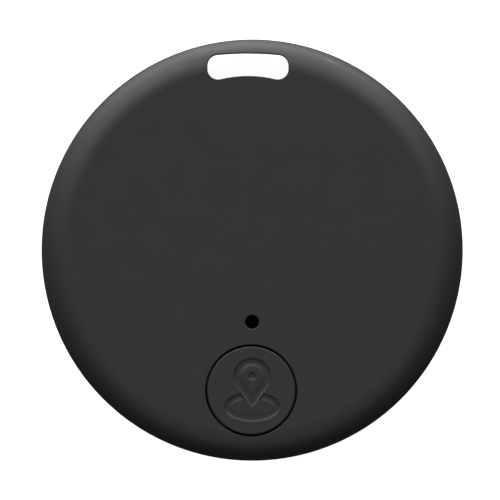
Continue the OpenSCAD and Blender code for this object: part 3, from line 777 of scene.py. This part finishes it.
def beside_marker(a, b, clear):
    """The ring's angle at which it meets the marker's clear margin, found by halving."""
    radius = MARKER_HEAD_R + clear
    reach = (MARKER_HEAD_UP + MARKER_TIP_DOWN) * radius / MARKER_HEAD_R
    slope = math.asin(radius / reach)
    tip_y = MARKER_HEAD_UP - reach
    low, high = 0.0, math.pi / 2
    for _ in range(40):
        middle = (low + high) / 2
        x, y = a * math.cos(middle), b * math.sin(middle) - RING_DOWN
        outside = x * math.cos(slope) - (y - tip_y) * math.sin(slope) > 0
        low, high = (middle, high) if outside else (low, middle)
    return low


def ring_outline(offset):
    """The oval ring round the marker's tip, as one band that stops either side of the marker."""
    def sweep(a, b, side):
        end = beside_marker(a, b, RING_CLEAR - offset)
        first, last = math.pi - end, math.tau + end
        angles = [first + (last - first) * i / 80 for i in range(81)]
        return [Vector((a * math.cos(t), b * math.sin(t) - RING_DOWN)) for t in angles][::side]

    reach = SYMBOL_SLOPE / 2
    sunk_at = reach * (1 - 2 * SYMBOL_SINK / SYMBOL_DEPTH)
    softer = 2 * reach * INNER_SOFTER / (sunk_at + reach)
    inner = RING_LINE + (offset - sunk_at) * softer + reach * INNER_SOFTER
    return [*sweep(RING_A + offset, RING_B + offset, 1), *sweep(RING_A - inner, RING_B - inner, -1)]


def ring_middle(offset):
    """The oval inside the ring, out to the middle of its line."""
    a, b = RING_A - RING_LINE / 2 + offset, RING_B - RING_LINE / 2 + offset
    return [Vector((a * math.cos(t), b * math.sin(t) - RING_DOWN)) for t in (math.tau * i / 120 for i in range(120))]


def eye_outline(offset):
    head = (0, MARKER_HEAD_UP)
    return outline_of([about(head, MARKER_EYE_R + offset, 0), (head, 360, 36)])


SLOPE_CURVE = [(-1.0, 0.0), (-0.8, 0.05), (0.8, 0.95), (1.0, 1.0)]


def sloped(outline, half, low, high, ends):
    """A solid in the button's face whose walls slope between two heights and run softly into the face and the floor."""
    levels = [(across * half, low + up * (high - low)) for across, up in SLOPE_CURVE]
    bm = prism(outline, sorted(levels + ends, key=lambda level: level[1]))
    bmesh.ops.translate(bm, verts=bm.verts[:], vec=(0, BUTTON_Y, 0))
    return bm


def groove(outline):
    half = SYMBOL_SLOPE / 2
    return sloped(outline, half, SYMBOL_FLOOR, CASE_T, [(half * 1.3, CASE_T + 0.02), (half * 1.3, CASE_T + 0.5)])


def island(outline):
    half = -SYMBOL_SLOPE / 2
    return sloped(outline, half, SYMBOL_FLOOR, CASE_T - SYMBOL_SINK, [(-half, SYMBOL_FLOOR - 0.2)])


def button_shape():
    edge = 0.2
    profile = [
        (BUTTON_R - edge, CASE_T),
        ((BUTTON_R - edge, CASE_T - edge), -90, 8),
        (BUTTON_R, FLANGE_LOW),
        (3.58, FLANGE_LOW),
        (3.58, CASE_T - 1),
        (1.3, CASE_T - 1),
        (1.3, button_low.z),
    ]
    cap = to_object("button_moulded", lathe(profile, centre=(BUTTON_X, BUTTON_Y), steps=192))
    flange = to_object("button_flange", lathe([(BUTTON_R + 0.67, FLANGE_LOW + 0.6), (BUTTON_R + 0.67, FLANGE_LOW), (BUTTON_R - 0.3, FLANGE_LOW), (BUTTON_R - 0.3, FLANGE_LOW + 0.6)], centre=(BUTTON_X, BUTTON_Y), steps=96, closed=True))
    clip_r = CASE_R - FRONT_EDGE_R + 0.05
    combine(flange, ("INTERSECT", rod(0, 0, clip_r, 0, CASE_T, steps=192)), ("DIFFERENCE", box((BUTTON_X - 0.6, BUTTON_Y + BUTTON_R, 0), (BUTTON_X + 0.6, 0, CASE_T))))
    flange_bm = bmesh.new()
    flange_bm.from_mesh(flange.data)
    bpy.data.objects.remove(flange)
    sunk_middle = prism(ring_middle, [(0.0, CASE_T - SYMBOL_SINK), (0.0, CASE_T + 0.5)])
    bmesh.ops.translate(sunk_middle, verts=sunk_middle.verts[:], vec=(0, BUTTON_Y, 0))
    return combine(
        cap,
        ("UNION", flange_bm),
        ("DIFFERENCE", sunk_middle),
        ("DIFFERENCE", groove(lambda offset: marker_outline(-offset))),
        ("UNION", island(lambda offset: marker_outline(MARKER_LINE - offset * INNER_SOFTER))),
        ("DIFFERENCE", groove(ring_outline)),
        ("DIFFERENCE", groove(eye_outline)),
    )


# ---------------------------------------------------------------- finishes
CASING_BLACK = (0.0415, 0.0385, 0.0400)
finishes = {
    "front_plastic": handled("front_plastic", CASING_BLACK, 0.55),
    "rear_plastic": handled("rear_plastic", CASING_BLACK, 0.55),
    "button_plastic": handled("button_plastic", CASING_BLACK, 0.55),
    # black gauze, set darker than black cloth so the sound hole over it reads black: partly its own colour, partly
    # painted shade
    "dust_mesh": gauze("dust_mesh", (0.0045, 0.0045, 0.0047), 0.09),
    "foam": sponge("foam", (0.02, 0.02, 0.022)),
    "buzzer_plastic": moulded("buzzer_plastic", (0.02, 0.02, 0.021), 0.45, grain=5.0, relief=0.003),
    "diaphragm_steel": turned_metal("diaphragm_steel", (0.55, 0.56, 0.58), 0.3, buzzer_centre),
    "magnet": moulded("magnet", (0.1, 0.1, 0.11), 0.5, grain=5.0, relief=0.004, spread=0.12),
    "copper_wire": winding("copper_wire", (0.62, 0.26, 0.1), 0.0, 0.12),
    "yoke_steel": sheet_metal("yoke_steel", (0.42, 0.43, 0.44), 0.35),
    "board_laminate": solder_mask("board_laminate", (0.008, 0.06, 0.03)),
    "copper_trace": sheet_metal("copper_trace", (0.7, 0.38, 0.2), 0.3),
    "gold_pad": sheet_metal("gold_pad", (0.85, 0.62, 0.28), 0.25, spread=0.04),
    "chip_epoxy": moulded("chip_epoxy", (0.02, 0.02, 0.022), 0.5, grain=6.0, relief=0.004, spread=0.1),
    "crystal_can": sheet_metal("crystal_can", (0.66, 0.66, 0.68), 0.25),
    "tinned_metal": moulded("tinned_metal", (0.5, 0.5, 0.52), 0.25, grain=3.0, relief=0.01, spread=0.08),
    "capacitor_ceramic": moulded("capacitor_ceramic", (0.36, 0.22, 0.12), 0.5, grain=6.0, relief=0.003, spread=0.1),
    "resistor_coat": moulded("resistor_coat", (0.012, 0.012, 0.014), 0.25, grain=4.0, relief=0.002, spread=0.1),
    "switch_plastic": moulded("switch_plastic", (0.03, 0.03, 0.033), 0.5, relief=0.003, spread=0.08),
    "switch_steel": sheet_metal("switch_steel", (0.62, 0.63, 0.64), 0.3),
    "plunger_plastic": moulded("plunger_plastic", (0.7, 0.67, 0.58), 0.5, relief=0.003, spread=0.04),
    "spring_metal": sheet_metal("spring_metal", (0.72, 0.62, 0.4), 0.3),
    "screw_steel": sheet_metal("screw_steel", (0.55, 0.55, 0.57), 0.3, direction=(2.0, 2.0, 9.0)),
    "cell_steel": turned_metal("cell_steel", (0.62, 0.63, 0.65), 0.3, (0.0, CELL_Y)),
    "cell_seal": moulded("cell_seal", (0.03, 0.03, 0.033), 0.5, relief=0.003, spread=0.08),
    "cell_filling": moulded("cell_filling", (0.06, 0.06, 0.065), 0.8, grain=3.0, relief=0.01, spread=0.2),
}
slot_of = {row["node"]: row["material_slot"] for row in frame["record"]["subparts"]}
for name, node in frame["nodes"].items():
    node.data.materials.clear()
    node.data.materials.append(finishes[slot_of[name]])

finish_piece(front_shell_shape(), finishes["front_plastic"], "front_half", ["front_shell"])
finish_piece(rear_cover_shape(), finishes["rear_plastic"], "rear_half", ["rear_cover"])
finish_piece(button_shape(), finishes["button_plastic"], "button", ["button_cap"])
